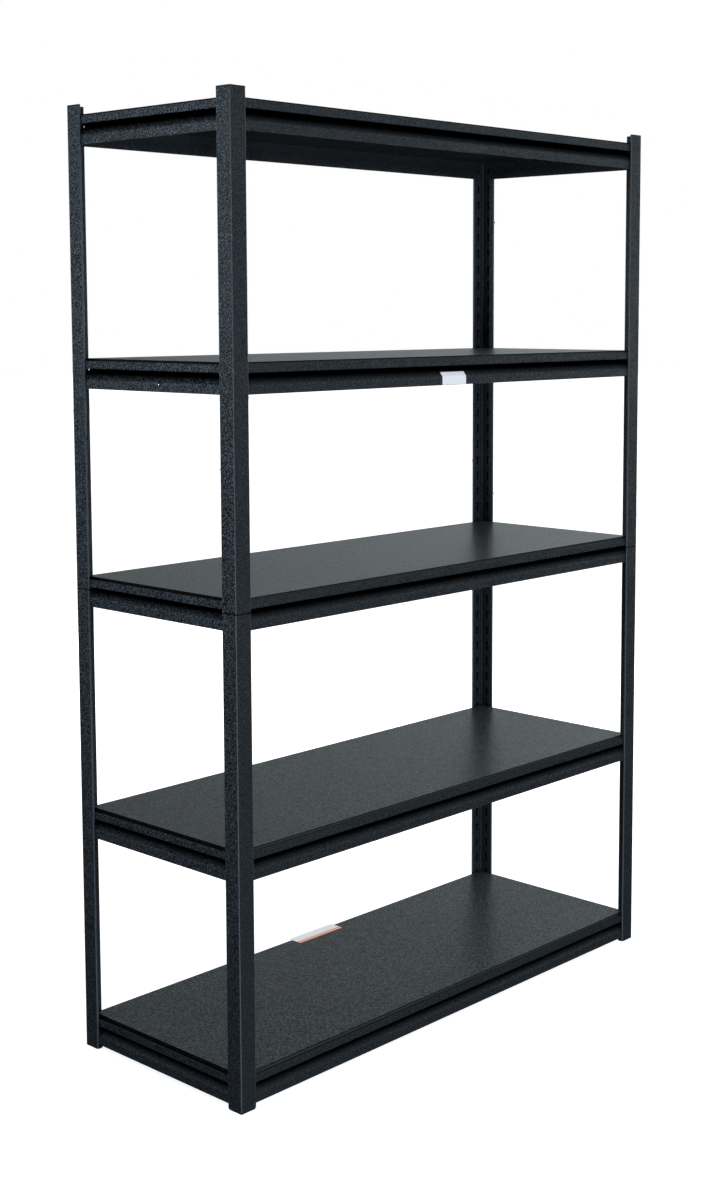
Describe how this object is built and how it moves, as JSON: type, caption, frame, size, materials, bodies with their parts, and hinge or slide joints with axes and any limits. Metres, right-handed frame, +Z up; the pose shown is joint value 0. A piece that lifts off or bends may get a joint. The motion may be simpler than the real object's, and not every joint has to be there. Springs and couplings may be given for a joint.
{
  "type": "boltless steel shelving unit",
  "caption": "Free-standing boltless shelving: keyholed angle posts in spliced halves, rectangular frames of riveted beams hung on them, and a loose board lying in each frame.",
  "frame": {"origin": "centre of the footprint, on the floor, which the four soles stand on", "axes": "+X runs along the length of the unit, from the left end to the right end as seen from the front; +Y runs from the front to the back; +Z is up, along the posts"},
  "size_m": [1.2192, 0.4572, 1.8348],
  "materials": {
    "coat": "dark charcoal hammertone powder coat, satin",
    "board": "particleboard with a fine-grained dark grey overlay, low sheen",
    "rivet": "dark plated rivet steel, satin",
    "splice_steel": "plain zinc-plated steel, dull",
    "foot_plastic": "black moulded plastic, matt",
    "label_paper": "blank adhesive paper label"
  },
  "bodies": {
    "posts": {"post_lower_front_left": "coat", "post_lower_front_right": "coat", "post_lower_back_left": "coat", "post_lower_back_right": "coat", "post_upper_front_left": "coat", "post_upper_front_right": "coat", "post_upper_back_left": "coat", "post_upper_back_right": "coat", "splice_front_left": "splice_steel", "splice_front_right": "splice_steel", "splice_back_left": "splice_steel", "splice_back_right": "splice_steel", "foot_front_left": "foot_plastic", "foot_front_right": "foot_plastic", "foot_back_left": "foot_plastic", "foot_back_right": "foot_plastic", "cap_front_left": "foot_plastic", "cap_front_right": "foot_plastic", "cap_back_left": "foot_plastic", "cap_back_right": "foot_plastic"},
    "frame_1": {"beam_front_1": "coat", "beam_back_1": "coat", "beam_left_1": "coat", "beam_right_1": "coat", "rivets_1": "rivet"},
    "frame_2": {"beam_front_2": "coat", "beam_back_2": "coat", "beam_left_2": "coat", "beam_right_2": "coat", "rivets_2": "rivet"},
    "frame_3": {"beam_front_3": "coat", "beam_back_3": "coat", "beam_left_3": "coat", "beam_right_3": "coat", "rivets_3": "rivet"},
    "frame_4": {"beam_front_4": "coat", "beam_back_4": "coat", "beam_left_4": "coat", "beam_right_4": "coat", "rivets_4": "rivet", "label_beam": "label_paper"},
    "frame_5": {"beam_front_5": "coat", "beam_back_5": "coat", "beam_left_5": "coat", "beam_right_5": "coat", "rivets_5": "rivet"},
    "board_1": {"deck_1": "board", "label_deck": "label_paper"},
    "board_2": {"deck_2": "board"},
    "board_3": {"deck_3": "board"},
    "board_4": {"deck_4": "board"},
    "board_5": {"deck_5": "board"}
  },
  "joints": [
    {"name": "frame_1_lift", "type": "slide", "parent": "posts", "child": "frame_1", "axis": [0, 0, 1], "range_m": [0, 0.013]},
    {"name": "frame_2_lift", "type": "slide", "parent": "posts", "child": "frame_2", "axis": [0, 0, 1], "range_m": [0, 0.013]},
    {"name": "frame_3_lift", "type": "slide", "parent": "posts", "child": "frame_3", "axis": [0, 0, 1], "range_m": [0, 0.013]},
    {"name": "frame_4_lift", "type": "slide", "parent": "posts", "child": "frame_4", "axis": [0, 0, 1], "range_m": [0, 0.013]},
    {"name": "frame_5_lift", "type": "slide", "parent": "posts", "child": "frame_5", "axis": [0, 0, 1], "range_m": [0, 0.013]},
    {"name": "board_1_lift", "type": "slide", "parent": "frame_1", "child": "board_1", "axis": [0, 0, 1], "range_m": [0, 0.12]},
    {"name": "board_2_lift", "type": "slide", "parent": "frame_2", "child": "board_2", "axis": [0, 0, 1], "range_m": [0, 0.12]},
    {"name": "board_3_lift", "type": "slide", "parent": "frame_3", "child": "board_3", "axis": [0, 0, 1], "range_m": [0, 0.12]},
    {"name": "board_4_lift", "type": "slide", "parent": "frame_4", "child": "board_4", "axis": [0, 0, 1], "range_m": [0, 0.12]},
    {"name": "board_5_lift", "type": "slide", "parent": "frame_5", "child": "board_5", "axis": [0, 0, 1], "range_m": [0, 0.12]}
  ]
}
